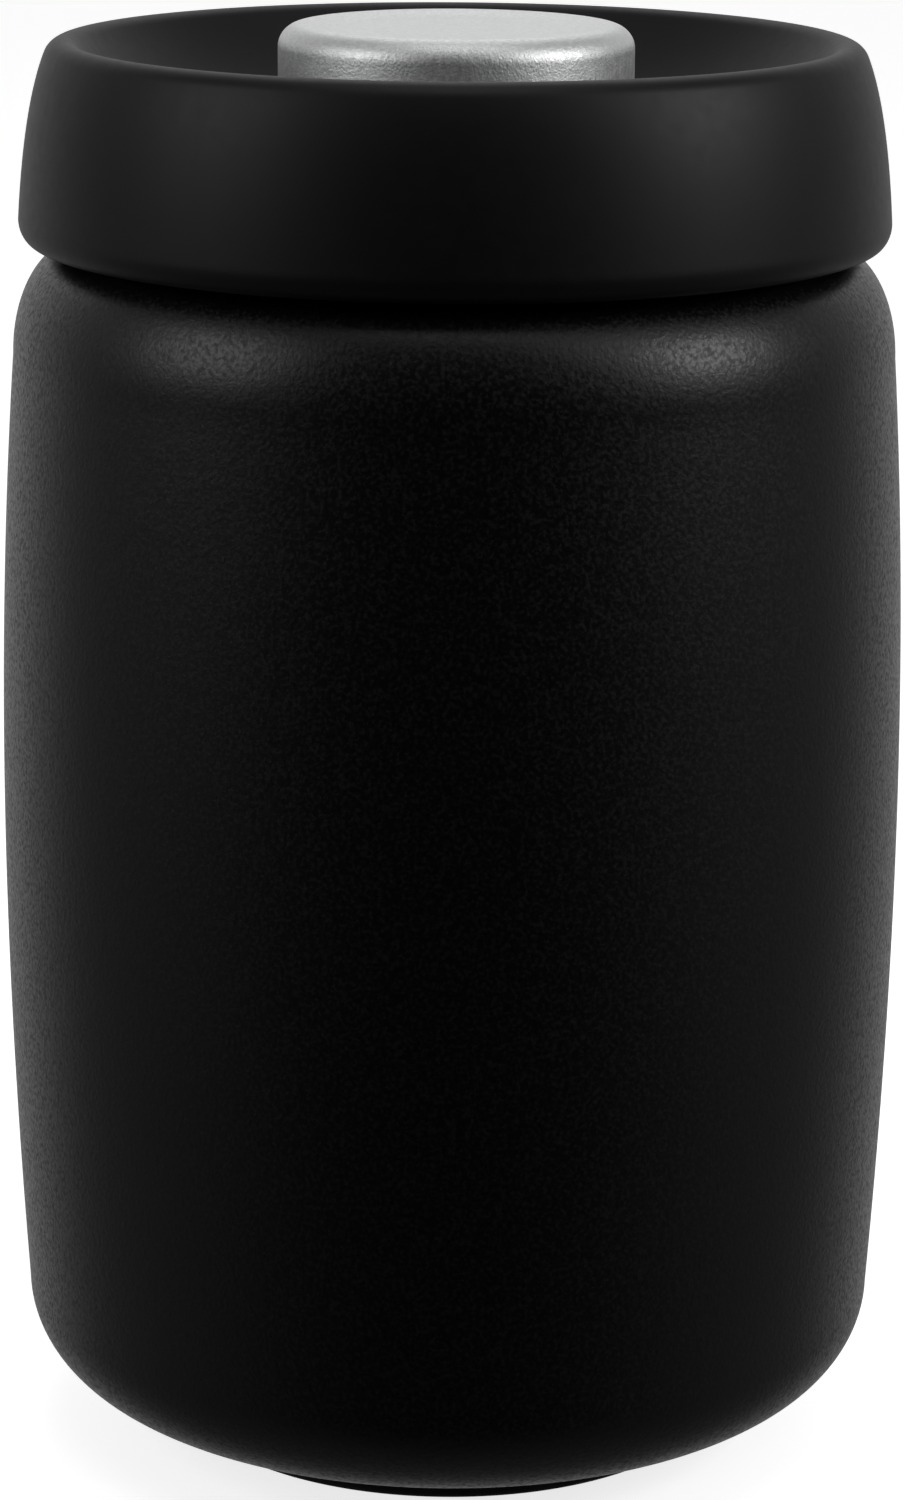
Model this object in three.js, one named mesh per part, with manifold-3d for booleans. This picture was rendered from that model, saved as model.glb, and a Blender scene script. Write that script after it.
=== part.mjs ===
// Push-button vacuum canister: a barrel-shaped steel jar with a twist-to-vent pump lid.
// Millimetres, +Z up. The origin is the centre of the base pad's underside.
// Every piece but the springs, screws and cams is a body of revolution about +Z.
import * as THREE from 'three';
import { mergeVertices } from 'three/addons/utils/BufferGeometryUtils.js';
import Module from 'manifold-3d';

const wasm = await Module();
wasm.setup();

// ---- driving dimensions ----
const FINE = 36; // flats round a large turned piece
const COARSE = 18; // flats round a small turned piece
const GAP = 0.3; // air between pieces that touch on the real object

// jar
const SHELL_WALL = 1.2;
const BELLY_FOOT = { r: 56.7, z: 19.3, slope: 0.066 }; // lower end of the belly curve
const BELLY_TOP = { r: 57.0, z: 145.0, slope: -0.074 }; // upper end of the belly curve
const HEEL = { across: 16.6, up: 14.5 }; // elliptical rounding under the belly
const SHOULDER = { across: 7.6, up: 13.2 }; // elliptical rounding over the belly
const NECK_OUTER = 48.4;
const NECK_FILLET = 1.0;
const BEAD = 1.3; // radius of the rolled bead round the mouth
const NECK_TOP = 170.4;

// base pad
const PAD_RADIUS = 36.4;
const PAD_HEIGHT = 5.6;
const PAD_SEAT = 1.1; // how far the pad sits up into the jar's base
const PAD_EDGE = 0.8;

// lid shell
const LID_WALL = 2.2;
const LID_RADIUS = 56.1;
const LID_BOTTOM = 159.2;
const LID_LIP = 3.0; // height of the rounding along the skirt's lower edge
const CREST = { r: 50.1, z: 182.25, radius: 2.6, lean: 22 }; // rounded top edge; lean in degrees
const BOWL_FLOOR = 170.5;
const BOWL_FLAT = 26.0; // radius where the bowl's curve runs out into its flat floor
const BOWL_SLOPE = 50; // how steeply the bowl starts below the crest, in degrees
const COLLAR = { inner: 23.4, outer: 25.4, bottom: 160.5 };

// lid liner, the cup that plugs the mouth
const LINER = { outer: 45.0, wall: 1.8, bottom: 154.6, floor: 157.2, flange: 50.8, rim: 171.9 };
const LINER_RIB = 46.4; // the two ribs that hold the gasket
const CUP_SPIGOT = { inner: 28.4, outer: 30.0, bottom: 151.6 };

// screws that pull the liner up against the lid shell
const SCREW_COUNT = 4;
const SCREW_CIRCLE = 34.5;
const SCREW = { shank: 1.4, head: 3.2, headHeight: 1.6, top: 164.5 };
const SCREW_HOLE = 1.8;
const BOSS_RADIUS = 3.6;

// pump
const CYLINDER = { bore: 15.0, outer: 16.6, flange: 20.0, top: 172.5 };
const ORING = { centre: 18.2, radius: 0.6, grooveDepth: 1.7, grooveHalf: 1.0 };
const PISTON = { radius: 14.3, bottom: 167.6, height: 4.0, boltHole: 1.8 };
const ROD_RADIUS = 3.2;

// button
const BUTTON = { radius: 22.8, wall: 1.0, top: 186.8, rounding: 3.0, bottom: 168.6, dish: 0.6 };
const CORE = { radius: 21.4, wall: 1.8, plate: 181.2, bottom: 169.2 };
const KEY_ANGLE = 24; // degrees of arc taken by each key of the release ring
const KEY_PLAY = 3; // extra degrees in the core's slots

// release ring and vent valve
const RING = { inner: 20.4, outer: 24.9, bottom: 157.6, top: 160.1, keyOuter: 21.4, keyTop: 172.0 };
const RELEASE_TURN = 60; // degrees
const VENT = { radius: 22.6, hole: 1.6, travel: 1.5, pinTop: 159.0, pinRadius: 1.2, flange: 2.8 };

// valves, filter and springs
const INTAKE = { holeRadius: 1.5, holeCircle: 5.5, count: 4, disc: 9.0, stem: 1.3, stemHole: 1.7 };
const CUP = { outer: 28.0, wall: 1.0, bottom: 147.0, top: 154.2, rib: 18.9 };
const FILTER_RADIUS = 18.5;
const RETURN_SPRING = { radius: 18.1, wire: 1.1, turns: 5.5 };
const VENT_SPRING = { radius: 1.9, wire: 0.5, turns: 4 };

// ---- colours ----
const paint = (color, roughness, metalness) => ({ color, roughness, metalness });
const BLACK_COAT = paint(0x0d0d0e, 0.62, 0.1);
const BLACK_PLASTIC = paint(0x101012, 0.5, 0.0);
const GREY_PLASTIC = paint(0x3a3b3d, 0.55, 0.0);
const CLEAR_PLASTIC = paint(0xb9bcc0, 0.3, 0.0);
const SATIN_STEEL = paint(0xc6c7c9, 0.32, 1.0);
const DARK_RUBBER = paint(0x262729, 0.85, 0.0);
const PALE_SILICONE = paint(0xd8d8d4, 0.7, 0.0);
const FELT = paint(0xe6e4dc, 0.95, 0.0);

// ---- outline helpers: every point is (radius, height) ----
const at = (r, z) => new THREE.Vector2(r, z);
const radians = THREE.MathUtils.degToRad;

// Points along an ellipse, angles in degrees from the outward direction.
function arc(r, z, across, up, from, to, steps) {
  const points = [];
  for (let i = 0; i <= steps; i++) {
    const angle = radians(from + ((to - from) * i) / steps);
    points.push(at(r + across * Math.cos(angle), z + up * Math.sin(angle)));
  }
  return points;
}

// Points along a cubic Bezier curve.
function bezier(a, b, c, d, steps) {
  return new THREE.CubicBezierCurve(a, b, c, d).getPoints(steps);
}

// A line of points moved sideways, to the right of the way it runs.
function beside(points, distance) {
  return points.map((point, i) => {
    const before = points[Math.max(i - 1, 0)];
    const after = points[Math.min(i + 1, points.length - 1)];
    const along = after.clone().sub(before).normalize();
    return at(point.x + along.y * distance, point.y - along.x * distance);
  });
}

// Neighbouring outline points closer than this count as one.
const SAME_POINT = 1e-4;

function withoutRepeats(points) {
  return points.filter((point, i) => i === 0 || point.distanceTo(points[i - 1]) > SAME_POINT);
}

// A solid turned about +Z from an outline that starts and ends on the axis.
function turned(points, flats = COARSE) {
  return new THREE.LatheGeometry(withoutRepeats(points), flats).rotateX(Math.PI / 2);
}

// A ring turned about +Z from an outline that closes on itself.
function turnedRing(points, flats = COARSE) {
  return turned([...points, points[0].clone()], flats);
}

// ---- cutting and joining ----
function toManifold(geometry) {
  const bare = geometry.clone();
  bare.deleteAttribute('normal');
  bare.deleteAttribute('uv');
  const merged = mergeVertices(bare, SAME_POINT);
  const index = merged.index.array;
  const triangles = [];
  for (let i = 0; i < index.length; i += 3) {
    const [a, b, c] = [index[i], index[i + 1], index[i + 2]];
    if (a !== b && b !== c && c !== a) {
      triangles.push(a, b, c);
    }
  }
  const vertProperties = new Float32Array(merged.attributes.position.array);
  const triVerts = new Uint32Array(triangles);
  return new wasm.Manifold(new wasm.Mesh({ numProp: 3, vertProperties, triVerts }));
}

function toGeometry(manifold) {
  const mesh = manifold.getMesh();
  const geometry = new THREE.BufferGeometry();
  geometry.setAttribute('position', new THREE.BufferAttribute(mesh.vertProperties, 3));
  geometry.setIndex(new THREE.BufferAttribute(mesh.triVerts, 1));
  return geometry;
}

function cut(geometry, tools) {
  return toGeometry(tools.reduce((solid, tool) => solid.subtract(toManifold(tool)), toManifold(geometry)));
}

function join(geometry, others) {
  return toGeometry(others.reduce((solid, other) => solid.add(toManifold(other)), toManifold(geometry)));
}

// An upright round bar or drill at (x, y) between two heights.
function bar(radius, bottom, top, x, y, sides = 12) {
  const geometry = new THREE.CylinderGeometry(radius, radius, top - bottom, sides);
  return geometry.rotateX(Math.PI / 2).translate(x, y, (bottom + top) / 2);
}

// Places spaced evenly round a circle, the first at startAngle degrees.
function onCircle(count, radius, startAngle = 0) {
  return Array.from({ length: count }, (_, i) => {
    const angle = radians(startAngle + (360 * i) / count);
    return { x: radius * Math.cos(angle), y: radius * Math.sin(angle) };
  });
}

// A curved bar that follows a circle: an upright slice of a tube, centred on middleAngle.
function tubeSlice(inner, outer, bottom, top, middleAngle, widthAngle) {
  const from = radians(middleAngle - widthAngle / 2);
  const to = radians(middleAngle + widthAngle / 2);
  const shape = new THREE.Shape();
  shape.absarc(0, 0, outer, from, to, false);
  shape.absarc(0, 0, inner, to, from, true);
  const settings = { depth: top - bottom, bevelEnabled: false, curveSegments: 4 };
  return new THREE.ExtrudeGeometry(shape, settings).translate(0, 0, bottom);
}

// A coil spring standing between two heights.
class Helix extends THREE.Curve {
  constructor(radius, bottom, top, turns) {
    super();
    Object.assign(this, { radius, bottom, top, turns });
  }

  getPoint(t, target = new THREE.Vector3()) {
    const angle = 2 * Math.PI * this.turns * t;
    const height = this.bottom + (this.top - this.bottom) * t;
    return target.set(this.radius * Math.cos(angle), this.radius * Math.sin(angle), height);
  }
}

function coil({ radius, wire, turns }, bottom, top) {
  const SIDES = 6;
  const STEPS_PER_TURN = 12;
  const section = new THREE.Shape();
  for (let i = 0; i < SIDES; i++) {
    const angle = (2 * Math.PI * i) / SIDES;
    const point = [(wire / 2) * Math.cos(angle), (wire / 2) * Math.sin(angle)];
    if (i === 0) {
      section.moveTo(...point);
    } else {
      section.lineTo(...point);
    }
  }
  section.closePath();
  const path = new Helix(radius, bottom + wire / 2, top - wire / 2, turns);
  const steps = Math.round(turns * STEPS_PER_TURN);
  return new THREE.ExtrudeGeometry(section, { extrudePath: path, steps, bevelEnabled: false });
}

// ---- jar ----
// The belly's side line, moved inwards by the inset.
function belly(inset, steps) {
  const { r: r0, z: z0, slope: m0 } = BELLY_FOOT;
  const { r: r1, z: z1, slope: m1 } = BELLY_TOP;
  const reach = (z1 - z0) / 3;
  return bezier(
    at(r0 - inset, z0),
    at(r0 - inset + m0 * reach, z0 + reach),
    at(r1 - inset - m1 * reach, z1 - reach),
    at(r1 - inset, z1),
    steps,
  );
}

function canisterShell() {
  const heelR = BELLY_FOOT.r - HEEL.across;
  const base = BELLY_FOOT.z - HEEL.up;
  const shoulderR = BELLY_TOP.r - SHOULDER.across;
  const shoulderTop = BELLY_TOP.z + SHOULDER.up;
  const neckInner = NECK_OUTER - SHELL_WALL;
  const filletR = NECK_OUTER + NECK_FILLET;
  const filletZ = shoulderTop + NECK_FILLET;
  const beadR = neckInner + BEAD;
  const beadZ = NECK_TOP - BEAD;
  const seat = base + PAD_SEAT;
  const seatR = PAD_RADIUS + 0.5;
  const outside = [
    at(0, seat),
    at(seatR, seat),
    at(seatR, base),
    ...arc(heelR, BELLY_FOOT.z, HEEL.across, HEEL.up, -90, 0, 6),
    ...belly(0, 7),
    ...arc(shoulderR, BELLY_TOP.z, SHOULDER.across, SHOULDER.up, 0, 90, 5),
    ...arc(filletR, filletZ, NECK_FILLET, NECK_FILLET, 270, 180, 2),
    ...arc(beadR, beadZ, BEAD, BEAD, -90, 180, 5),
  ];
  const wall = SHELL_WALL;
  const inside = [
    ...arc(filletR, filletZ, NECK_FILLET + wall, NECK_FILLET + wall, 180, 270, 2),
    ...arc(shoulderR, BELLY_TOP.z, SHOULDER.across - wall, SHOULDER.up - wall, 90, 0, 3),
    ...belly(wall, 4).reverse(),
    ...arc(heelR, BELLY_FOOT.z, HEEL.across - wall, HEEL.up - wall, 0, -90, 4),
    at(seatR + wall, seat + wall),
    at(0, seat + wall),
  ];
  return turned([...outside, ...inside], FINE);
}

function basePad() {
  return turned(
    [
      at(0, 0),
      at(PAD_RADIUS - PAD_EDGE, 0),
      at(PAD_RADIUS, PAD_EDGE),
      at(PAD_RADIUS, PAD_HEIGHT),
      at(0, PAD_HEIGHT),
    ],
    FINE,
  );
}

// ---- lid body ----
// The skirt's side line from its lower edge to the crest, moved inwards by the inset.
function skirt(inset, steps) {
  const crestFoot = arc(CREST.r, CREST.z, CREST.radius, CREST.radius, CREST.lean, CREST.lean, 1)[0];
  const foot = LID_BOTTOM + LID_LIP;
  return bezier(
    at(LID_RADIUS - inset, foot),
    at(LID_RADIUS - 0.5 - inset, foot + 8.2),
    at(crestFoot.x + 2.0 - inset, crestFoot.y - 4.9),
    at(crestFoot.x - inset, crestFoot.y),
    steps,
  );
}

// The bowl's line from its flat floor out to the crest.
function bowlLine(steps) {
  const crestEnd = 90 + BOWL_SLOPE;
  const rim = arc(CREST.r, CREST.z, CREST.radius, CREST.radius, crestEnd, crestEnd, 1)[0];
  const reach = 9;
  const fall = radians(BOWL_SLOPE);
  return bezier(
    at(BOWL_FLAT, BOWL_FLOOR),
    at(BOWL_FLAT + 8, BOWL_FLOOR),
    at(rim.x - reach * Math.cos(fall), rim.y - reach * Math.sin(fall)),
    rim,
    steps,
  );
}

function screwPlaces() {
  return onCircle(SCREW_COUNT, SCREW_CIRCLE, 45);
}

function lidShell() {
  const underside = BOWL_FLOOR - LID_WALL;
  const roof = beside(bowlLine(7), LID_WALL).filter((point) => point.x < CREST.r - 1.6);
  const roofEnd = roof[roof.length - 1];
  const skirtInside = skirt(LID_WALL, 6).filter((point) => point.y < roofEnd.y - 0.3);
  const lipR = LID_RADIUS - LID_WALL;
  const outline = [
    at(COLLAR.inner, COLLAR.bottom),
    at(COLLAR.outer, COLLAR.bottom),
    at(COLLAR.outer, underside),
    ...roof,
    at(skirtInside[skirtInside.length - 1].x - 0.5, roofEnd.y),
    ...skirtInside.reverse(),
    ...arc(lipR, LID_BOTTOM + LID_LIP, LID_WALL, LID_LIP, -90, 0, 3),
    ...skirt(0, 5),
    ...arc(CREST.r, CREST.z, CREST.radius, CREST.radius, CREST.lean, 90 + BOWL_SLOPE, 5),
    ...bowlLine(7).reverse(),
    at(COLLAR.inner + 1, BOWL_FLOOR),
    at(COLLAR.inner, BOWL_FLOOR - 1),
  ];
  const shell = turnedRing(outline, FINE);
  const bossBottom = LINER.floor + GAP;
  const bossTop = BOWL_FLOOR + 4;
  const roofMiddle = beside(bowlLine(7), LID_WALL / 2);
  const rim = roofMiddle[roofMiddle.length - 1];
  const overhead = turned([at(0, roofMiddle[0].y), ...roofMiddle, at(rim.x, 200), at(0, 200)], FINE);
  const bosses = screwPlaces().map(({ x, y }) => {
    return cut(bar(BOSS_RADIUS, bossBottom, bossTop, x, y), [overhead]);
  });
  const holeTop = SCREW.top + 0.5;
  const holes = screwPlaces().map(({ x, y }) => bar(SCREW_HOLE, bossBottom - 1, holeTop, x, y));
  return cut(join(shell, bosses), holes);
}

function lidLiner() {
  const inner = LINER.outer - LINER.wall;
  const flange = NECK_TOP + GAP;
  const rib = (z) => [
    at(LINER.outer, z),
    at(LINER_RIB, z + 0.2),
    at(LINER_RIB, z + 1.4),
    at(LINER.outer, z + 1.6),
  ];
  const grooveFloor = LINER.floor - ORING.grooveDepth;
  const outline = [
    at(INTAKE.stemHole, LINER.bottom),
    at(CUP_SPIGOT.inner, LINER.bottom),
    at(CUP_SPIGOT.inner, CUP_SPIGOT.bottom),
    at(CUP_SPIGOT.outer, CUP_SPIGOT.bottom),
    at(CUP_SPIGOT.outer, LINER.bottom),
    at(LINER.outer - 1, LINER.bottom),
    at(LINER.outer, LINER.bottom + 1),
    ...rib(LINER.bottom + 1.9),
    ...rib(LINER.bottom + 10.4),
    at(LINER.outer, flange),
    at(LINER.flange, flange),
    at(LINER.flange, LINER.rim),
    at(inner, LINER.rim),
    at(inner, LINER.floor),
    at(ORING.centre + ORING.grooveHalf, LINER.floor),
    at(ORING.centre + ORING.grooveHalf, grooveFloor),
    at(ORING.centre - ORING.grooveHalf, grooveFloor),
    at(ORING.centre - ORING.grooveHalf, LINER.floor),
    at(INTAKE.stemHole, LINER.floor),
  ];
  const below = LINER.bottom - 1;
  const above = LINER.floor + 1;
  const drill = (radius) => ({ x, y }) => bar(radius, below, above, x, y, 10);
  const holes = [
    ...onCircle(INTAKE.count, INTAKE.holeCircle).map(drill(INTAKE.holeRadius)),
    ...screwPlaces().map(drill(SCREW_HOLE)),
    drill(VENT.hole)({ x: VENT.radius, y: 0 }),
  ];
  return cut(turnedRing(outline, FINE), holes);
}

function mainGasket() {
  const back = LINER.outer + GAP;
  const base = back + 0.7;
  const lip = NECK_OUTER - SHELL_WALL - GAP;
  const bottom = LINER.bottom + 3.8;
  const top = LINER.bottom + 10.1;
  const lipProfile = (z) => [at(base, z - 0.8), at(lip, z), at(lip, z + 0.5), at(base, z + 0.8)];
  const outline = [
    at(back, bottom),
    at(base, bottom),
    ...lipProfile(bottom + 1.4),
    ...lipProfile(top - 1.4),
    at(base, top),
    at(back, top),
  ];
  return turnedRing(outline, FINE);
}

function pumpCylinder() {
  const bottom = LINER.floor + GAP;
  const flangeTop = bottom + 1.5;
  return turnedRing(
    [
      at(CYLINDER.bore, bottom),
      at(CYLINDER.flange, bottom),
      at(CYLINDER.flange, flangeTop),
      at(CYLINDER.outer, flangeTop),
      at(CYLINDER.outer, CYLINDER.top),
      at(CYLINDER.bore + 0.4, CYLINDER.top),
      at(CYLINDER.bore, CYLINDER.top - 0.4),
    ],
    FINE,
  );
}

function cylinderOring() {
  const z = LINER.floor - ORING.grooveDepth + GAP + ORING.radius;
  return turnedRing(arc(ORING.centre, z, ORING.radius, ORING.radius, 0, 315, 7), COARSE);
}

function filterCup() {
  const floor = CUP.bottom + CUP.wall;
  const inner = CUP.outer - CUP.wall;
  const plate = turned(
    [
      at(0, CUP.bottom),
      ...arc(CUP.outer - 1.4, CUP.bottom + 1.4, 1.4, 1.4, -90, 0, 3),
      at(CUP.outer, CUP.top),
      at(inner, CUP.top),
      at(inner, floor + 0.6),
      at(inner - 0.6, floor),
      at(CUP.rib + 1, floor),
      at(CUP.rib + 1, floor + 1.2),
      at(CUP.rib, floor + 1.2),
      at(CUP.rib, floor),
      at(0, floor),
    ],
    FINE,
  );
  const holeRadius = 1.5;
  const drill = ({ x, y }) => bar(holeRadius, CUP.bottom - 1, floor + 1, x, y, 8);
  const holes = [...onCircle(1, 0), ...onCircle(6, 6.5), ...onCircle(12, 13)].map(drill);
  return cut(plate, holes);
}

function filterDisc() {
  const bottom = CUP.bottom + CUP.wall + GAP;
  const thickness = 1.3;
  return turned([
    at(0, bottom),
    at(FILTER_RADIUS, bottom),
    at(FILTER_RADIUS, bottom + thickness),
    at(0, bottom + thickness),
  ]);
}

function lidScrew() {
  const headTop = LINER.bottom - GAP;
  const headBottom = headTop - SCREW.headHeight;
  return turned(
    [
      at(0, headBottom),
      at(SCREW.head * 0.6, headBottom),
      at(SCREW.head, headBottom + SCREW.headHeight * 0.6),
      at(SCREW.head, headTop),
      at(SCREW.shank, headTop),
      at(SCREW.shank, SCREW.top - 1),
      at(0, SCREW.top),
    ],
    12,
  );
}

// ---- valves ----
function intakeValve() {
  const seat = LINER.floor + GAP;
  const bulbTop = LINER.bottom - 0.9;
  return turned([
    at(0, bulbTop - 1.3),
    at(2.0, bulbTop - 1.3),
    at(2.4, bulbTop - 0.7),
    at(2.4, bulbTop - 0.3),
    at(INTAKE.stem, bulbTop),
    at(INTAKE.stem, seat),
    at(INTAKE.disc, seat),
    at(INTAKE.disc, seat + 0.4),
    at(3.0, seat + 1.0),
    at(0, seat + 1.1),
  ]);
}

// The vent pieces are turned on their own axis and then moved out to the vent's place.
const ventFlangeTop = LINER.bottom - 1.9;
const ventFlangeBottom = ventFlangeTop - 0.7;

function ventPin() {
  return turned(
    [
      at(0, ventFlangeBottom - 2.0),
      at(1.0, ventFlangeBottom - 2.0),
      at(1.0, ventFlangeBottom),
      at(VENT.flange, ventFlangeBottom),
      at(VENT.flange, ventFlangeTop),
      at(VENT.pinRadius, ventFlangeTop),
      at(VENT.pinRadius, VENT.pinTop),
      at(0, VENT.pinTop),
    ],
    12,
  ).translate(VENT.radius, 0, 0);
}

function ventSeal() {
  const bottom = ventFlangeTop + GAP;
  const top = LINER.bottom - GAP;
  const bore = VENT.pinRadius + GAP;
  return turnedRing(
    [at(bore, bottom), at(3.4, bottom), at(3.4, top - GAP), at(2.6, top), at(bore, top)],
    16,
  ).translate(VENT.radius, 0, 0);
}

function ventSpring() {
  const bottom = CUP.bottom + CUP.wall + GAP;
  return coil(VENT_SPRING, bottom, ventFlangeBottom - GAP).translate(VENT.radius, 0, 0);
}

// The ring's underside is a ramp: turning the ring pushes the vent pin down by its travel.
function rampDepth(degrees) {
  const shallow = VENT.pinTop - VENT.travel + GAP - RING.bottom;
  const flat = 7.5; // level stretch at each end of the ramp
  if (degrees < -RELEASE_TURN - flat || degrees > flat) {
    return 0;
  }
  const along = THREE.MathUtils.clamp(1 + degrees / RELEASE_TURN, 0, 1);
  return shallow + VENT.travel * along;
}

function releaseRing() {
  const corners = [
    at(RING.inner, RING.bottom),
    at(RING.outer, RING.bottom),
    at(RING.outer, RING.top),
    at(RING.inner, RING.top),
  ];
  const ring = turnedRing(corners, 2 * FINE);
  const position = ring.attributes.position;
  for (let i = 0; i < position.count; i++) {
    if (position.getZ(i) < RING.bottom + SAME_POINT) {
      const degrees = THREE.MathUtils.radToDeg(Math.atan2(position.getY(i), position.getX(i)));
      position.setZ(i, RING.bottom + rampDepth(degrees));
    }
  }
  const keyFoot = RING.top - 0.5;
  const key = (angle) => tubeSlice(RING.inner, RING.keyOuter, keyFoot, RING.keyTop, angle, KEY_ANGLE);
  return join(ring, [key(90), key(270)]);
}

// ---- button and piston ----
function buttonCap() {
  const edgeR = BUTTON.radius - BUTTON.rounding;
  const edgeZ = BUTTON.top - BUTTON.rounding;
  const inner = BUTTON.radius - BUTTON.wall;
  const ceiling = BUTTON.top - BUTTON.dish - 0.6;
  return turned(
    [
      at(0, ceiling),
      ...arc(edgeR, edgeZ, inner - edgeR, ceiling - edgeZ, 90, 0, 4),
      at(inner, BUTTON.bottom),
      at(BUTTON.radius, BUTTON.bottom),
      ...arc(edgeR, edgeZ, BUTTON.rounding, BUTTON.rounding, 0, 90, 5),
      at(edgeR - 2.5, BUTTON.top - BUTTON.dish * 0.6),
      at(edgeR - 7.0, BUTTON.top - BUTTON.dish),
      at(0, BUTTON.top - BUTTON.dish),
    ],
    FINE,
  );
}

function buttonCore() {
  const top = BUTTON.top - BUTTON.dish - 0.6 - GAP;
  const round = 2.0;
  const rodBottom = PISTON.bottom + PISTON.height + GAP;
  const body = turned(
    [
      at(0, CORE.plate - 2.2),
      at(PISTON.boltHole, CORE.plate - 2.2),
      at(PISTON.boltHole, rodBottom),
      at(ROD_RADIUS, rodBottom),
      at(ROD_RADIUS, CORE.plate),
      at(CORE.radius - CORE.wall, CORE.plate),
      at(CORE.radius - CORE.wall, CORE.bottom),
      at(CORE.radius, CORE.bottom),
      ...arc(CORE.radius - round, top - round, round, round, 0, 90, 3),
      at(0, top),
    ],
    FINE,
  );
  const slot = (angle) => {
    const inner = CORE.radius - CORE.wall - 1;
    const outer = CORE.radius + 1;
    return tubeSlice(inner, outer, CORE.bottom - 1, CORE.plate - 0.2, angle, KEY_ANGLE + KEY_PLAY);
  };
  return cut(body, [slot(90), slot(270)]);
}

function returnSpring() {
  const flangeTop = LINER.floor + GAP + 1.5;
  return coil(RETURN_SPRING, flangeTop + GAP, CORE.plate - GAP);
}

const grooveBottom = PISTON.bottom + 1.2;
const grooveTop = grooveBottom + 1.8;
const grooveRadius = PISTON.radius - 2.1;

function piston() {
  const top = PISTON.bottom + PISTON.height;
  const headRecess = { radius: 3.4, top: PISTON.bottom + 1.8 };
  return turnedRing(
    [
      at(headRecess.radius, PISTON.bottom),
      at(PISTON.radius, PISTON.bottom),
      at(PISTON.radius, grooveBottom),
      at(grooveRadius, grooveBottom),
      at(grooveRadius, grooveTop),
      at(PISTON.radius, grooveTop),
      at(PISTON.radius, top),
      at(PISTON.boltHole, top),
      at(PISTON.boltHole, headRecess.top),
      at(headRecess.radius, headRecess.top),
    ],
    FINE,
  );
}

function pistonSeal() {
  const bottom = grooveBottom + GAP;
  const top = grooveTop - GAP;
  const inner = grooveRadius + GAP;
  const lip = CYLINDER.bore - GAP;
  return turnedRing(
    [at(inner, bottom), at(lip, bottom), at(lip - 0.3, (bottom + top) / 2), at(lip, top), at(inner, top)],
    FINE,
  );
}

function pistonScrew() {
  const headBottom = PISTON.bottom + 0.2;
  const headTop = PISTON.bottom + 1.5;
  const shank = PISTON.boltHole - 0.4;
  return turned(
    [
      at(0, headBottom),
      at(2.9, headBottom),
      at(2.9, headTop),
      at(shank, headTop),
      at(shank, CORE.plate - 3.6),
      at(0, CORE.plate - 2.7),
    ],
    12,
  );
}

// ---- assembly ----
const canister = new THREE.Group();

function add(name, geometry, look) {
  const mesh = new THREE.Mesh(geometry, new THREE.MeshStandardMaterial(look));
  mesh.name = name;
  canister.add(mesh);
}

add('canister_shell', canisterShell(), BLACK_COAT);
add('base_pad', basePad(), DARK_RUBBER);
add('lid_shell', lidShell(), BLACK_PLASTIC);
add('lid_liner', lidLiner(), GREY_PLASTIC);
add('main_gasket', mainGasket(), PALE_SILICONE);
add('pump_cylinder', pumpCylinder(), CLEAR_PLASTIC);
add('cylinder_oring', cylinderOring(), DARK_RUBBER);
add('filter_cup', filterCup(), SATIN_STEEL);
add('filter_disc', filterDisc(), FELT);
screwPlaces().forEach(({ x, y }, i) => {
  add(`lid_screw_${i + 1}`, lidScrew().translate(x, y, 0), SATIN_STEEL);
});
add('intake_valve', intakeValve(), PALE_SILICONE);
add('vent_pin', ventPin(), SATIN_STEEL);
add('vent_seal', ventSeal(), PALE_SILICONE);
add('vent_spring', ventSpring(), SATIN_STEEL);
add('release_ring', releaseRing(), GREY_PLASTIC);
add('button_cap', buttonCap(), SATIN_STEEL);
add('button_core', buttonCore(), BLACK_PLASTIC);
add('return_spring', returnSpring(), SATIN_STEEL);
add('piston', piston(), GREY_PLASTIC);
add('piston_seal', pistonSeal(), DARK_RUBBER);
add('piston_screw', pistonScrew(), SATIN_STEEL);

export default canister;
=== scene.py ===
"""Looks for the push-button vacuum canister: turned meshes and procedural materials round the CAD frame."""

from math import cos, pi, radians, sin, tan

import bmesh
import bpy
from mathutils import Matrix, Vector


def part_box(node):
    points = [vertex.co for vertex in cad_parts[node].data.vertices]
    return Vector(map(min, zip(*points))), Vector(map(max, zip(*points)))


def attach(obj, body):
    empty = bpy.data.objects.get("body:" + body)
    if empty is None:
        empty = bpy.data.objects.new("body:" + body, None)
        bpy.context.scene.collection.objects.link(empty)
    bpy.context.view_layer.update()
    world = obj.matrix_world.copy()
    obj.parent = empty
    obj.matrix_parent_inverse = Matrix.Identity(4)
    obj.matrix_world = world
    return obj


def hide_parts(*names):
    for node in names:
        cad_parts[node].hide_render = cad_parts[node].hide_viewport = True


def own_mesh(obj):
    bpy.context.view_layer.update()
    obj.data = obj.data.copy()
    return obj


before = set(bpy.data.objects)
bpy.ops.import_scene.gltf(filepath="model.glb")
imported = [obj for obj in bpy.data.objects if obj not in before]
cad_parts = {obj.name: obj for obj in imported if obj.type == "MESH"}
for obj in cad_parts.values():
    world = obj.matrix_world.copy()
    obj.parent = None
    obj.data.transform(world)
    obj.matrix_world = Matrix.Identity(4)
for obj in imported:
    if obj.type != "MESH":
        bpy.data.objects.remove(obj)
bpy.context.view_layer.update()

# ---- sizes: outlines below are (radius, height) in millimetres ----
MM = 0.001
FLATS = 256  # steps round a large turned piece
SMALL_FLATS = 64  # steps round a small turned piece
GAP = 0.3  # the frame's clearance between pieces that touch


def node_size(node):
    """(outer radius, lowest point, highest point) in millimetres of a CAD node that stands on the axis."""
    low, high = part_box(node)
    return high.y / MM, low.z / MM, high.z / MM


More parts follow.
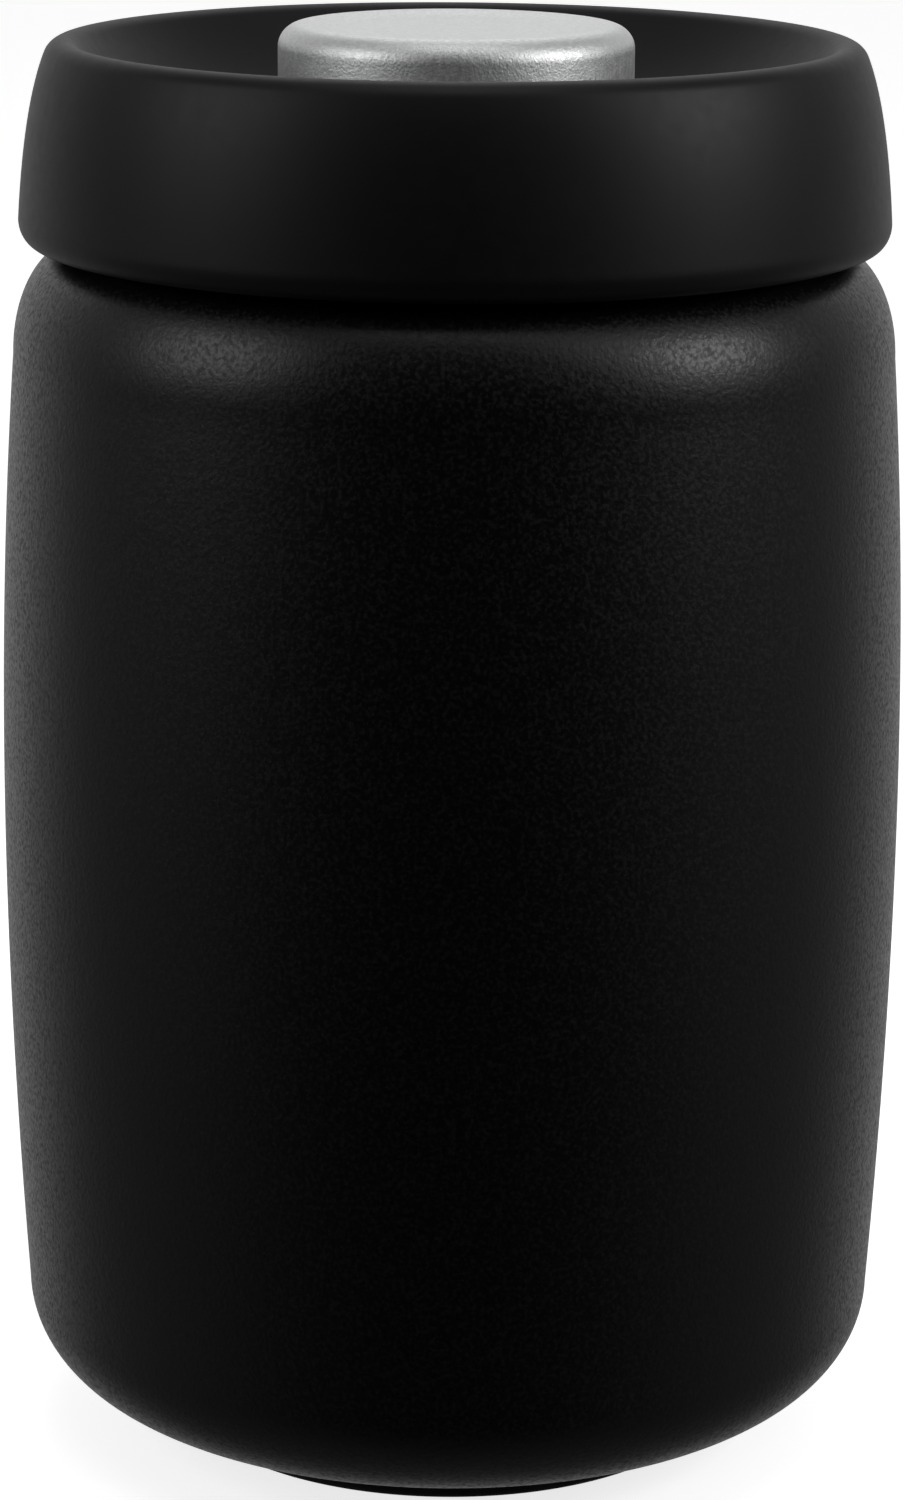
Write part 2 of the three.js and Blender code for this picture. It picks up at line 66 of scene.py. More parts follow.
def node_middle(node):
    """Where a CAD node that stands off the axis has its own axis, in millimetres."""
    low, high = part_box(node)
    return (low.x + high.x) / 2 / MM, (low.y + high.y) / 2 / MM


# ---- outlines ----
def arc(r, z, across, up, start, end, steps):
    """Points along an ellipse, angles in degrees from the outward direction."""
    angles = [radians(start + (end - start) * i / steps) for i in range(steps + 1)]
    return [(r + across * cos(a), z + up * sin(a)) for a in angles]


def bezier(a, b, c, d, steps):
    """Points along a cubic Bezier curve."""
    points = []
    for i in range(steps + 1):
        t = i / steps
        u = 1 - t
        weights = (u * u * u, 3 * u * u * t, 3 * u * t * t, t * t * t)
        points.append(tuple(sum(w * p[k] for w, p in zip(weights, (a, b, c, d))) for k in (0, 1)))
    return points


def eased(corners, closed=False, steps=4):
    """An outline from corners (radius, height, rounding): each corner is rounded by its own rounding."""
    outline = []
    last = len(corners) - 1
    for i, (r, z, rounding) in enumerate(corners):
        here = Vector((r, z))
        if rounding == 0 or (not closed and i in (0, last)):
            outline.append((r, z))
            continue
        back = Vector(corners[i - 1][:2]) - here
        ahead = Vector(corners[(i + 1) % len(corners)][:2]) - here
        half = back.angle(ahead) / 2
        reach = min(rounding / tan(half), 0.49 * back.length, 0.49 * ahead.length)
        middle = (back.normalized() + ahead.normalized()).normalized()
        centre = here + middle * (reach / cos(half))
        first = here + back.normalized() * reach - centre
        second = here + ahead.normalized() * reach - centre
        sweep = first.angle(second)
        for k in range(steps + 1):
            t = k / steps
            blended = (sin((1 - t) * sweep) * first + sin(t * sweep) * second) / sin(sweep)
            outline.append(tuple(centre + blended))
    return outline


def beside(points, distance):
    """A line of points moved sideways, to the right of the way it runs."""
    moved = []
    for i, (r, z) in enumerate(points):
        before = Vector(points[max(i - 1, 0)])
        after = Vector(points[min(i + 1, len(points) - 1)])
        along = (after - before).normalized()
        moved.append((r + along.y * distance, z - along.x * distance))
    return moved


# ---- meshes ----
def new_object(name, mesh):
    piece = bpy.data.objects.new(name, mesh)
    bpy.context.scene.collection.objects.link(piece)
    return piece


def lathe_mesh(name, outline, closed=False, flats=FLATS, place=(0, 0)):
    """A mesh turned about an upright axis at place. The outline ends on the axis or closes on itself."""
    points = [outline[0]]
    for point in outline[1:]:
        if (Vector(point) - Vector(points[-1])).length > 1e-4:
            points.append(point)
    bm = bmesh.new()
    rings = []
    for r, z in points:
        if r < 1e-6:
            rings.append([bm.verts.new((place[0] * MM, place[1] * MM, z * MM))] * flats)
            continue
        ring = []
        for i in range(flats):
            angle = 2 * pi * i / flats
            x = place[0] + r * cos(angle)
            y = place[1] + r * sin(angle)
            ring.append(bm.verts.new((x * MM, y * MM, z * MM)))
        rings.append(ring)
    pairs = list(zip(rings, rings[1:]))
    if closed:
        pairs.append((rings[-1], rings[0]))
    for low, high in pairs:
        for i in range(flats):
            j = (i + 1) % flats
            corners = []
            for vert in (low[i], low[j], high[j], high[i]):
                if vert not in corners:
                    corners.append(vert)
            if len(corners) > 2:
                bm.faces.new(corners)
    mesh = bpy.data.meshes.new(name)
    bm.to_mesh(mesh)
    bm.free()
    return mesh


def smooth(piece, angle=40):
    """Smooth shading with edges sharper than angle kept crisp."""
    piece.data.shade_smooth()
    piece.data.set_sharp_from_angle(angle=radians(angle))


def settle(piece, material, body, nodes=()):
    """Give a finished piece its material, body and the CAD nodes it stands for."""
    piece.data.materials.clear()
    piece.data.materials.append(material)
    smooth(piece)
    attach(piece, body)
    if nodes:
        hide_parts(*nodes)
    return piece


def cut_with(piece, cutter):
    """Cut one closed mesh from another, and drop the cutter."""
    modifier = piece.modifiers.new("cut", "BOOLEAN")
    modifier.operation = "DIFFERENCE"
    modifier.solver = "EXACT"
    modifier.object = cutter
    depsgraph = bpy.context.evaluated_depsgraph_get()
    result = bpy.data.meshes.new_from_object(piece.evaluated_get(depsgraph))
    piece.modifiers.clear()
    old = piece.data
    piece.data = result
    result.name = old.name
    bpy.data.meshes.remove(old)
    bpy.data.objects.remove(cutter)


def drills(name, places, radius, bottom, top, flats=24):
    """One mesh of upright round bars, to cut holes with."""
    bm = bmesh.new()
    for x, y in places:
        outline = [(0, bottom), (radius, bottom), (radius, top), (0, top)]
        mesh = lathe_mesh(name + "_bar", outline, flats=flats, place=(x, y))
        bm.from_mesh(mesh)
        bpy.data.meshes.remove(mesh)
    joined = bpy.data.meshes.new(name)
    bm.to_mesh(joined)
    bm.free()
    return new_object(name, joined)


def on_circle(count, radius, start=0):
    """Places spaced evenly round a circle, in millimetres."""
    angles = [radians(start + 360 * i / count) for i in range(count)]
    return [(radius * cos(a), radius * sin(a)) for a in angles]


def coil_mesh(name, radius, wire, turns, bottom, top, place=(0, 0), sides=12, steps_per_turn=40):
    """A compression spring with closed end turns, standing between two heights."""
    closed_turns = 0.75
    steps = int(turns * steps_per_turn)
    rise = (top - bottom - wire) - 2 * closed_turns * wire * 0.6
    bm = bmesh.new()
    rings = []
    for i in range(steps + 1):
        turn = turns * i / steps
        low_part = min(turn, closed_turns) * wire * 0.6
        high_part = max(0.0, turn - (turns - closed_turns)) * wire * 0.6
        middle = min(max(turn - closed_turns, 0.0) / (turns - 2 * closed_turns), 1.0)
        eased_middle = middle * middle * (3 - 2 * middle) * 0.25 + middle * 0.75
        height = bottom + wire / 2 + low_part + high_part + rise * eased_middle
        angle = 2 * pi * turn
        ring = []
        for k in range(sides):
            around = 2 * pi * k / sides
            r = radius + wire / 2 * cos(around)
            z = height + wire / 2 * sin(around)
            x = place[0] + r * cos(angle)
            y = place[1] + r * sin(angle)
            ring.append(bm.verts.new((x * MM, y * MM, z * MM)))
        rings.append(ring)
    for low, high in zip(rings, rings[1:]):
        for k in range(sides):
            j = (k + 1) % sides
            bm.faces.new((low[j], low[k], high[k], high[j]))
    bm.faces.new(rings[0])
    bm.faces.new(list(reversed(rings[-1])))
    bmesh.ops.recalc_face_normals(bm, faces=bm.faces)
    mesh = bpy.data.meshes.new(name)
    bm.to_mesh(mesh)
    bm.free()
    return mesh


# ---- materials ----
class Surface:
    """A node material with a Principled shader and textures placed in the object's own metres."""

    def __init__(self, name, color, roughness, metallic=0.0, specular=0.5):
        self.material = bpy.data.materials.new(name)
        self.material.use_nodes = True
        self.nodes = self.material.node_tree.nodes
        self.links = self.material.node_tree.links
        self.shader = self.nodes["Principled BSDF"]
        self.shader.inputs["Base Color"].default_value = (*color, 1)
        self.shader.inputs["Roughness"].default_value = roughness
        self.shader.inputs["Metallic"].default_value = metallic
        self.shader.inputs["Specular IOR Level"].default_value = specular
        self.place = self.nodes.new("ShaderNodeTexCoord").outputs["Object"]
        self.normal = None

    def stretched(self, x, y, z):
        """The texture coordinates scaled along each axis."""
        node = self.nodes.new("ShaderNodeMapping")
        node.inputs["Scale"].default_value = (x, y, z)
        self.links.new(self.place, node.inputs["Vector"])
        return node.outputs["Vector"]

    def noise(self, size, detail=2.0, place=None):
        """Noise whose features are about size millimetres across."""
        node = self.nodes.new("ShaderNodeTexNoise")
        node.inputs["Scale"].default_value = 1 / (size * MM)
        node.inputs["Detail"].default_value = detail
        self.links.new(place or self.place, node.inputs["Vector"])
        return node.outputs["Fac"]

    def ramp(self, value, stops):
        """A value run through a colour ramp: stops are (position, colour)."""
        node = self.nodes.new("ShaderNodeValToRGB")
        elements = node.color_ramp.elements
        while len(elements) < len(stops):
            elements.new(0.5)
        for element, (position, color) in zip(elements, stops):
            element.position = position
            element.color = (*color, 1)
        self.links.new(value, node.inputs["Fac"])
        return node.outputs["Color"]

    def spread(self, value, low, high):
        """A 0 to 1 value spread over another range."""
        node = self.nodes.new("ShaderNodeMapRange")
        node.inputs["To Min"].default_value = low
        node.inputs["To Max"].default_value = high
        self.links.new(value, node.inputs["Value"])
        return node.outputs["Result"]

    def bump(self, value, depth):
        """Relief of about depth millimetres on top of any relief already there."""
        node = self.nodes.new("ShaderNodeBump")
        node.inputs["Distance"].default_value = depth * MM
        self.links.new(value, node.inputs["Height"])
        if self.normal:
            self.links.new(self.normal, node.inputs["Normal"])
        self.normal = node.outputs["Normal"]
        self.links.new(self.normal, self.shader.inputs["Normal"])

    def color(self, value):
        self.links.new(value, self.shader.inputs["Base Color"])

    def roughness(self, value):
        self.links.new(value, self.shader.inputs["Roughness"])


def powder_coat():
    """Matte black powder coat: fine grain with scattered dull flecks over a faint orange peel."""
    s = Surface("powder_coat", (0.0015, 0.0015, 0.0016), 0.38, specular=0.42)
    grain = s.noise(0.6, 3)
    flecks = s.ramp(s.noise(0.55, 4), [(0.34, (0, 0, 0)), (0.56, (1, 1, 1))])
    s.color(s.ramp(grain, [(0.3, (0.0006, 0.0006, 0.0007)), (0.7, (0.0024, 0.0024, 0.0025))]))
    s.roughness(s.spread(flecks, 0.52, 0.33))
    s.bump(s.noise(3.5, 1), 0.02)
    s.bump(grain, 0.05)
    return s.material


def moulded_black():
    """Smooth matte black moulded plastic with a very fine spark texture."""
    s = Surface("moulded_black", (0.002, 0.002, 0.0021), 0.5, specular=0.3)
    fine = s.noise(0.16, 2)
    s.color(s.ramp(s.noise(6, 3), [(0.3, (0.0014, 0.0014, 0.0015)), (0.7, (0.0024, 0.0024, 0.0025))]))
    s.roughness(s.spread(s.noise(1.5, 4), 0.44, 0.54))
    s.bump(fine, 0.003)
    s.bump(s.noise(9, 1), 0.01)
    return s.material


def moulded_grey():
    """Dark grey moulded plastic with a spark-eroded grain."""
    s = Surface("moulded_grey", (0.05, 0.051, 0.054), 0.5)
    s.color(s.ramp(s.noise(4, 4), [(0.3, (0.042, 0.043, 0.046)), (0.7, (0.058, 0.059, 0.062))]))
    s.roughness(s.spread(s.noise(0.6, 3), 0.45, 0.62))
    s.bump(s.noise(0.35, 2), 0.012)
    return s.material


def satin_metal():
    """Bead-blasted satin silver metal: a fine frosted grain with a trace of spun lines."""
    s = Surface("satin_metal", (0.8, 0.805, 0.81), 0.3, metallic=1.0)
    grain = s.noise(0.3, 3)
    streaks = s.noise(0.5, 2, s.stretched(1, 1, 0.3))
    s.color(s.ramp(s.noise(0.5, 3), [(0.25, (0.74, 0.745, 0.75)), (0.75, (0.88, 0.885, 0.89))]))
    s.roughness(s.spread(streaks, 0.38, 0.62))
    s.bump(grain, 0.05)
    s.bump(s.noise(0.9, 2), 0.03)
    return s.material


def bare_steel():
    """Bare drawn stainless steel, satin, with long fine lines along the draw."""
    s = Surface("bare_steel", (0.55, 0.55, 0.56), 0.32, metallic=1.0)
    lines = s.noise(0.5, 3, s.stretched(1, 1, 0.04))
    s.color(s.ramp(lines, [(0.3, (0.48, 0.48, 0.49)), (0.7, (0.62, 0.62, 0.63))]))
    s.roughness(s.spread(s.noise(0.7, 3, s.stretched(1, 1, 0.06)), 0.24, 0.42))
    s.bump(lines, 0.004)
    s.bump(s.noise(8, 1), 0.02)
    return s.material


def turned_steel():
    """Turned stainless steel with fine tool rings."""
    s = Surface("turned_steel", (0.6, 0.6, 0.62), 0.25, metallic=1.0)
    rings = s.noise(0.2, 1, s.stretched(0.1, 0.1, 1))
    s.color(s.ramp(s.noise(1, 3), [(0.3, (0.52, 0.52, 0.54)), (0.7, (0.66, 0.66, 0.68))]))
    s.roughness(s.spread(rings, 0.18, 0.34))
    s.bump(rings, 0.004)
    return s.material


def spring_wire():
    """Drawn spring wire, a little darker, streaked along its draw."""
    s = Surface("spring_wire", (0.42, 0.42, 0.44), 0.28, metallic=1.0)
    s.color(s.ramp(s.noise(0.8, 3), [(0.3, (0.34, 0.34, 0.36)), (0.7, (0.5, 0.5, 0.52))]))
    s.roughness(s.spread(s.noise(0.3, 3), 0.2, 0.38))
    s.bump(s.noise(0.15, 2), 0.002)
    return s.material


def base_silicone():
    """Dark grey non-slip silicone with a faint moulded texture."""
    s = Surface("base_silicone", (0.02, 0.02, 0.021), 0.7, specular=0.35)
    s.color(s.ramp(s.noise(2, 4), [(0.3, (0.017, 0.017, 0.018)), (0.7, (0.027, 0.027, 0.028))]))
    s.roughness(s.spread(s.noise(0.8, 3), 0.6, 0.8))
    s.bump(s.noise(0.5, 2), 0.015)
    return s.material


def pale_silicone():
    """Pale, slightly cloudy food silicone."""
    s = Surface("pale_silicone", (0.62, 0.62, 0.6), 0.45)
    s.shader.inputs["Subsurface Weight"].default_value = 0.25
    s.shader.inputs["Subsurface Radius"].default_value = (0.0015, 0.0014, 0.0012)
    s.color(s.ramp(s.noise(3, 3), [(0.3, (0.57, 0.57, 0.55)), (0.7, (0.68, 0.68, 0.66))]))
    s.roughness(s.spread(s.noise(0.7, 3), 0.38, 0.55))
    s.bump(s.noise(0.5, 2), 0.006)
    return s.material


def seal_rubber():
    """Black nitrile rubber."""
    s = Surface("seal_rubber", (0.015, 0.015, 0.015), 0.5)
    s.color(s.ramp(s.noise(1, 4), [(0.3, (0.011, 0.011, 0.011)), (0.7, (0.022, 0.022, 0.022))]))
    s.roughness(s.spread(s.noise(0.4, 3), 0.4, 0.6))
    s.bump(s.noise(0.2, 2), 0.004)
    return s.material


def smoky_plastic():
    """Smoky clear moulded plastic."""
    s = Surface("smoky_plastic", (0.5, 0.52, 0.55), 0.18)
    s.shader.inputs["Transmission Weight"].default_value = 0.6
    s.color(s.ramp(s.noise(5, 3), [(0.3, (0.46, 0.48, 0.51)), (0.7, (0.55, 0.57, 0.6))]))
    s.roughness(s.spread(s.noise(2, 3), 0.12, 0.25))
    s.bump(s.noise(1.5, 2), 0.004)
    return s.material


def pressed_felt():
    """Off-white pressed felt: short crossed fibres."""
    s = Surface("pressed_felt", (0.8, 0.78, 0.73), 0.95, specular=0.2)
    s.shader.inputs["Sheen Weight"].default_value = 0.4
    fibres = s.noise(0.25, 4, s.stretched(1, 0.25, 1))
    crossed = s.noise(0.25, 4, s.stretched(0.25, 1, 1))
    s.color(s.ramp(fibres, [(0.3, (0.7, 0.68, 0.62)), (0.7, (0.86, 0.84, 0.79))]))
    s.roughness(s.spread(crossed, 0.85, 1.0))
    s.bump(fibres, 0.12)
    s.bump(crossed, 0.12)
    return s.material


COAT = powder_coat()
BLACK = moulded_black()
GREY = moulded_grey()
SATIN = satin_metal()
STEEL = bare_steel()
TURNED = turned_steel()
WIRE = spring_wire()
FOOT = base_silicone()
SILICONE = pale_silicone()
RUBBER = seal_rubber()
SMOKY = smoky_plastic()
FELT = pressed_felt()

# ---- jar ----
BELLY_RADIUS, BASE, MOUTH = node_size("canister_shell")
WALL = 1.2
COAT_DEPTH = 0.5  # the coated outer skin's share of the wall
HEEL = (16.6, 14.5)  # rounding under the belly: across, up
SHOULDER = (7.6, 13.2)  # rounding over the belly: across, up
FOOT_R = BELLY_RADIUS - 2.35
FOOT_Z = BASE + HEEL[1]
TOP_R = BELLY_RADIUS - 2.05
TOP_Z = MOUTH - 25.4
FOOT_SLOPE = 0.066
TOP_SLOPE = -0.074
NECK_R = 48.4
NECK_FILLET = 1.0
BEAD = 1.3
PAD_R, PAD_BOTTOM, PAD_TOP = node_size("base_pad")


def belly(inset, steps):
    """The belly's side line, from the heel up to the shoulder, moved inwards by inset."""
    reach = (TOP_Z - FOOT_Z) / 3
    return bezier(
        (FOOT_R - inset, FOOT_Z),
        (FOOT_R - inset + FOOT_SLOPE * reach, FOOT_Z + reach),
        (TOP_R - inset - TOP_SLOPE * reach, TOP_Z - reach),
        (TOP_R - inset, TOP_Z),
        steps,
    )


def jar_outline(inset):
    """The jar's side from the edge of its flat base to the foot of the bead, moved inwards by inset."""
    heel = (FOOT_R - HEEL[0], FOOT_Z, HEEL[0] - inset, HEEL[1] - inset)
    shoulder = (TOP_R - SHOULDER[0], TOP_Z, SHOULDER[0] - inset, SHOULDER[1] - inset)
    fillet = (NECK_R + NECK_FILLET, TOP_Z + SHOULDER[1] + NECK_FILLET)
    bend = NECK_FILLET + inset
    return [
        *arc(*heel, -90, 0, 28),
        *belly(inset, 40),
        *arc(*shoulder, 0, 90, 24),
        *arc(*fillet, bend, bend, 270, 180, 6),
    ]


def make_jar():
    pad_seat = PAD_TOP + GAP
    pad_hole = PAD_R + 0.5
    skin = COAT_DEPTH
    neck_end = MOUTH - 2 * BEAD - 0.4
    outer = [
        (pad_hole, BASE + 0.4),
        (pad_hole + 0.4, BASE),
        *jar_outline(0),
        (NECK_R, neck_end - 0.2),
        (NECK_R - 0.2, neck_end),
        (NECK_R - skin, neck_end),
    ]
    back = [*reversed(jar_outline(skin)), (pad_hole, BASE + skin)]
    coat = new_object("jar_coated_skin", lathe_mesh("jar_coated_skin", outer + back, closed=True))
    settle(coat, COAT, "canister", ["canister_shell"])

    clear = skin + 0.04
    bead_r = NECK_R - WALL + BEAD
    bead_z = MOUTH - BEAD
    steel_outer = [
        (0, pad_seat),
        (pad_hole - 0.04, pad_seat),
        (pad_hole - 0.04, BASE + clear),
        *jar_outline(clear),
        (NECK_R - clear, bead_z - BEAD + 0.1),
        *arc(bead_r, bead_z, BEAD, BEAD, -80, 180, 18),
    ]
    floor = pad_seat + WALL
    steel_inner = [
        *reversed(jar_outline(WALL)),
        (pad_hole + WALL, floor - 0.4),
        (pad_hole + WALL - 1.5, floor),
        (0, floor),
    ]
    lining = new_object("jar_steel_lining", lathe_mesh("jar_steel_lining", steel_outer + steel_inner))
    settle(lining, STEEL, "canister")


def make_foot():
    """The silicone foot: eased edges, and shallow grip grooves under it."""
    groove_depth = 0.5
    groove_half = 0.7
    underside = [(0, PAD_BOTTOM, 0)]
    for radius in (12, 18, 24, 30):
        underside += [
            (radius - groove_half, PAD_BOTTOM, 0.15),
            (radius - groove_half * 0.6, PAD_BOTTOM + groove_depth, 0.15),
            (radius + groove_half * 0.6, PAD_BOTTOM + groove_depth, 0.15),
            (radius + groove_half, PAD_BOTTOM, 0.15),
        ]
    side = [(PAD_R, PAD_BOTTOM, 0.9), (PAD_R, PAD_TOP, 0.3), (0, PAD_TOP, 0)]
    foot = new_object("foot_pad", lathe_mesh("foot_pad", eased(underside + side)))
    settle(foot, FOOT, "canister", ["base_pad"])


# ---- lid ----
LID_R, BOSS_BOTTOM, _ = node_size("lid_shell")
COLLAR_BOTTOM = BOSS_BOTTOM + 3.0
LID_WALL = 2.2
SKIRT_BOTTOM = 159.2
SKIRT_LIP = 3.0
CREST_R = 50.1
CREST_Z = 182.25
CREST_ROUND = 2.6
CREST_LEAN = 22
BOWL_FLOOR = 170.5
BOWL_FLAT = 26.0
BOWL_SLOPE = 50  # how steeply the bowl starts below the crest, in degrees
COLLAR_IN = 23.4
COLLAR_OUT = 25.4
LINER_R, SPIGOT_BOTTOM, LINER_RIM = node_size("lid_liner")
LINER_BOTTOM = SPIGOT_BOTTOM + 3.0


def skirt(inset, steps):
    """The skirt's side line from its lower edge to the crest, moved inwards by inset."""
    crest_foot = arc(CREST_R, CREST_Z, CREST_ROUND, CREST_ROUND, CREST_LEAN, CREST_LEAN, 1)[0]
    foot = SKIRT_BOTTOM + SKIRT_LIP
    return bezier(
        (LID_R - inset, foot),
        (LID_R - 0.5 - inset, foot + 8.2),
        (crest_foot[0] + 2.0 - inset, crest_foot[1] - 4.9),
        (crest_foot[0] - inset, crest_foot[1]),
        steps,
    )


def bowl_line(steps):
    """The bowl's line from its flat floor out to the crest."""
    crest_end = 90 + BOWL_SLOPE
    rim = arc(CREST_R, CREST_Z, CREST_ROUND, CREST_ROUND, crest_end, crest_end, 1)[0]
    reach = 9
    fall = radians(BOWL_SLOPE)
    near_rim = (rim[0] - reach * cos(fall), rim[1] - reach * sin(fall))
    return bezier((BOWL_FLAT, BOWL_FLOOR), (BOWL_FLAT + 8, BOWL_FLOOR), near_rim, rim, steps)


def make_lid_shell():
    """The moulded lid: collar, underside of the bowl, skirt, crest and bowl, as one closed outline."""
    roof = [point for point in beside(bowl_line(40), LID_WALL) if point[0] < CREST_R - 1.6]
    roof_end = roof[-1][1]
    inside = [point for point in skirt(LID_WALL, 32) if point[1] < roof_end - 0.3]
    collar = [
        (COLLAR_OUT - 0.01, BOWL_FLOOR, 0),
        (COLLAR_IN, BOWL_FLOOR, 1.0),
        (COLLAR_IN, COLLAR_BOTTOM, 0.3),
        (COLLAR_OUT, COLLAR_BOTTOM, 0.3),
        (COLLAR_OUT, BOWL_FLOOR - LID_WALL, 0),
    ]
    outline = [
        *eased(collar)[1:],
        *roof,
        (inside[-1][0] - 0.4, roof_end),
        *reversed(inside),
        *arc(LID_R - LID_WALL, SKIRT_BOTTOM + SKIRT_LIP, LID_WALL, SKIRT_LIP, -90, 0, 14),
        *skirt(0, 40),
        *arc(CREST_R, CREST_Z, CREST_ROUND, CREST_ROUND, CREST_LEAN, 90 + BOWL_SLOPE, 20),
        *reversed(bowl_line(48)),
    ]
    lid = new_object("lid_outer_shell", lathe_mesh("lid_outer_shell", outline, closed=True))
    settle(lid, BLACK, "lid", ["lid_shell"])


def screw_places():
    """Where the four lid screws stand, from the frame."""
    return [node_middle(f"lid_screw_{i}") for i in range(1, 5)]


def make_lid_bosses():
    """The four screw bosses under the bowl, each with its pilot hole."""
    top = BOWL_FLOOR + 4
    hole_top = node_size("lid_screw_1")[2] + 0.5
    pilot = 1.8
    boss_r = 3.6
    roof_middle = beside(bowl_line(24), LID_WALL / 2)
    overhead = [(0, roof_middle[0][1]), *roof_middle, (roof_middle[-1][0], top + 20), (0, top + 20)]
    for i, place in enumerate(screw_places(), 1):
        corners = [
            (0, hole_top, 0),
            (pilot, hole_top, 0),
            (pilot, BOSS_BOTTOM, 0.2),
            (boss_r, BOSS_BOTTOM, 0.3),
            (boss_r, top, 0),
            (0, top, 0),
        ]
        name = f"lid_boss_{i}"
        boss = new_object(name, lathe_mesh(name, eased(corners), flats=SMALL_FLATS, place=place))
        cut_with(boss, new_object("overhead", lathe_mesh("overhead", overhead, flats=96)))
        settle(boss, BLACK, "lid")


def make_liner():
    """The cup that plugs the mouth: flange, two gasket ribs, spigot, O-ring groove and drilled floor."""
    outer = 45.0
    inner = outer - 1.8
    floor = LINER_BOTTOM + 2.6
    flange = MOUTH + GAP
    centre_hole = 1.7
    groove_out = 19.2
    groove_in = 17.2
    groove_floor = floor - 1.7

    def rib(z):
        return [(outer, z, 0.1), (46.4, z + 0.2, 0.3), (46.4, z + 1.4, 0.3), (outer, z + 1.6, 0.1)]

    low = node_size("filter_cup")[0] + 0.4
    corners = [
        (centre_hole, LINER_BOTTOM, 0.2),
        (low, LINER_BOTTOM, 0.2),
        (low, SPIGOT_BOTTOM, 0.4),
        (low + 1.6, SPIGOT_BOTTOM, 0.4),
        (low + 1.6, LINER_BOTTOM, 0.4),
        (outer, LINER_BOTTOM, 1.2),
        *rib(LINER_BOTTOM + 1.9),
        *rib(LINER_BOTTOM + 10.4),
        (outer, flange, 0.5),
        (LINER_R, flange, 0.4),
        (LINER_R, LINER_RIM, 0.4),
        (inner, LINER_RIM, 0.3),
        (inner, floor, 0.8),
        (groove_out, floor, 0.1),
        (groove_out, groove_floor, 0.2),
        (groove_in, groove_floor, 0.2),
        (groove_in, floor, 0.1),
        (centre_hole, floor, 0.2),
    ]
    liner = new_object("liner_cup", lathe_mesh("liner_cup", eased(corners, closed=True), closed=True))
    below = LINER_BOTTOM - 1
    above = floor + 1
    cut_with(liner, drills("intake_drill", on_circle(4, 5.5), 1.5, below, above))
    cut_with(liner, drills("screw_drill", screw_places(), 1.8, below, above))
    cut_with(liner, drills("vent_drill", [node_middle("vent_pin")], 1.6, below, above))
    settle(liner, GREY, "lid", ["lid_liner"])


def make_gasket():
    """The main gasket: a base band with two swept lips."""
    lip_r, bottom, top = node_size("main_gasket")
    back = 45.3
    band = back + 0.7

    def lip(z):
        return [(band, z - 0.9, 0.2), (lip_r, z + 0.1, 0.12), (lip_r, z + 0.4, 0.12), (band, z + 0.6, 0.2)]

    corners = [
        (back, bottom, 0.15),
        (band, bottom, 0.2),
        *lip(bottom + 1.5),
        *lip(top - 1.4),
        (band, top, 0.2),
        (back, top, 0.15),
    ]
    outline = eased(corners, closed=True)
    gasket = new_object("neck_gasket", lathe_mesh("neck_gasket", outline, closed=True))
    settle(gasket, SILICONE, "lid", ["main_gasket"])


def make_filter_cup():
    """The perforated steel cup, with rings of holes like stamped sheet."""
    radius, bottom, top = node_size("filter_cup")
    wall = 1.0
    floor = bottom + wall
    fence_out = 19.9
    fence_in = 18.9
    fence_top = floor + 1.2
    corners = [
        (0, bottom, 0),
        (radius, bottom, 1.6),
        (radius, top, 0.3),
        (radius - wall, top, 0.3),
        (radius - wall, floor, 0.7),
        (fence_out, floor, 0.1),
        (fence_out, fence_top, 0.2),
        (fence_in, fence_top, 0.2),
        (fence_in, floor, 0.1),
        (0, floor, 0),
    ]
    cup = new_object("strainer_cup", lathe_mesh("strainer_cup", eased(corners)))
    places = [(0, 0)]
    for ring in range(1, 6):
        places += on_circle(6 * ring, 3.2 * ring)
    cut_with(cup, drills("strainer_drill", places, 0.9, bottom - 1, floor + 1, flats=16))
    settle(cup, STEEL, "lid", ["filter_cup"])


def make_filter_disc():
    radius, bottom, top = node_size("filter_disc")
    corners = [(0, bottom, 0), (radius, bottom, 0.4), (radius, top, 0.5), (0, top, 0)]
    disc = new_object("felt_disc", lathe_mesh("felt_disc", eased(corners), flats=128))
    settle(disc, FELT, "lid", ["filter_disc"])


def make_lid_screws():
    """Pan-head screws with a cross recess."""
    for i, place in enumerate(screw_places(), 1):
        _, bottom, top = node_size(f"lid_screw_{i}")
        head = 3.2
        shank = 1.4
        shoulder = LINER_BOTTOM - GAP
        corners = [
            (0, bottom, 0),
            (head * 0.75, bottom + 0.1, 0.6),
            (head, bottom + 0.9, 0.4),
            (head, shoulder, 0.15),
            (shank, shoulder, 0.1),
            (shank, top - 1, 0.2),
            (0, top, 0),
        ]
        name = f"pan_screw_{i}"
        screw = new_object(name, lathe_mesh(name, eased(corners), flats=48, place=place))
        bm = bmesh.new()
        for turn in (0, 90):
            size = Matrix.Diagonal((3.2 * MM, 0.7 * MM, 1.8 * MM, 1))
            spot = Matrix.Translation((place[0] * MM, place[1] * MM, bottom * MM))
            turned = Matrix.Rotation(radians(turn), 4, "Z")
            bmesh.ops.create_cube(bm, size=1, matrix=spot @ turned @ size)
        cross = bpy.data.meshes.new("cross")
        bm.to_mesh(cross)
        bm.free()
        cut_with(screw, new_object("cross", cross))
        settle(screw, TURNED, "lid", [f"lid_screw_{i}"])


